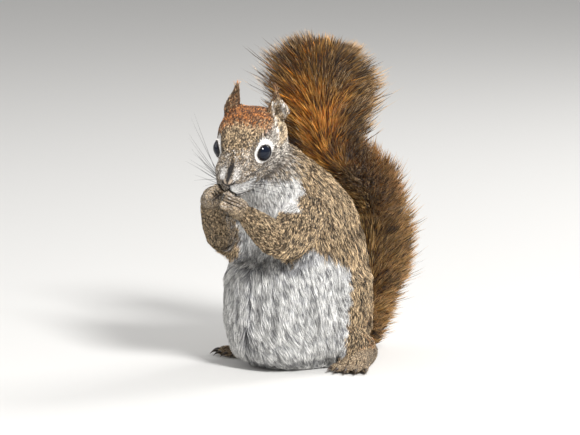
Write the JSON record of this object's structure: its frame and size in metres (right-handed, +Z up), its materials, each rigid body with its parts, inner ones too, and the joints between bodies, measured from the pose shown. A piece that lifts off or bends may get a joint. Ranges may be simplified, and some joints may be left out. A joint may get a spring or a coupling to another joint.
{
  "type": "red squirrel",
  "caption": "Life-size still model of an adult red squirrel sitting upright with its forepaws at its mouth and its bushy tail raised behind its back.",
  "frame": {"origin": "middle of the underside of the whole animal's box, on the surface it sits on", "axes": "+Z up, the body faces -Y, its left side is toward +X"},
  "size_m": [0.0926, 0.1282, 0.155],
  "materials": {
    "coat": "grizzled olive brown fur",
    "underside": "soft white fur over grey",
    "tail_hair": "long rust orange hair with black and buff tips",
    "paws": "short buff fur over dark skin",
    "eyes": "wet gloss",
    "nose": "moist and finely pebbled",
    "claws": "dark horn"
  },
  "bodies": {
    "root": {"nose": "nose", "eye_left": "eyes", "eye_right": "eyes", "head": "coat", "ear_left": "coat", "ear_right": "coat", "neck": "coat", "chest": "underside", "abdomen": "underside", "rump": "underside", "upper_arm_left": "coat", "upper_arm_right": "coat", "forearm_left": "coat", "forearm_right": "coat", "hand_left": "paws", "hand_right": "paws", "thigh_left": "coat", "thigh_right": "coat", "shank_left": "coat", "shank_right": "coat", "foot_left": "paws", "foot_right": "paws", "claw_hand_left_1": "claws", "claw_hand_left_2": "claws", "claw_hand_left_3": "claws", "claw_hand_left_4": "claws", "claw_hand_right_1": "claws", "claw_hand_right_2": "claws", "claw_hand_right_3": "claws", "claw_hand_right_4": "claws", "claw_foot_left_1": "claws", "claw_foot_left_2": "claws", "claw_foot_left_3": "claws", "claw_foot_left_4": "claws", "claw_foot_left_5": "claws", "claw_foot_right_1": "claws", "claw_foot_right_2": "claws", "claw_foot_right_3": "claws", "claw_foot_right_4": "claws", "claw_foot_right_5": "claws", "tail_1": "tail_hair", "tail_2": "tail_hair", "tail_3": "tail_hair", "tail_4": "tail_hair", "tail_5": "tail_hair"}
  },
  "joints": []
}
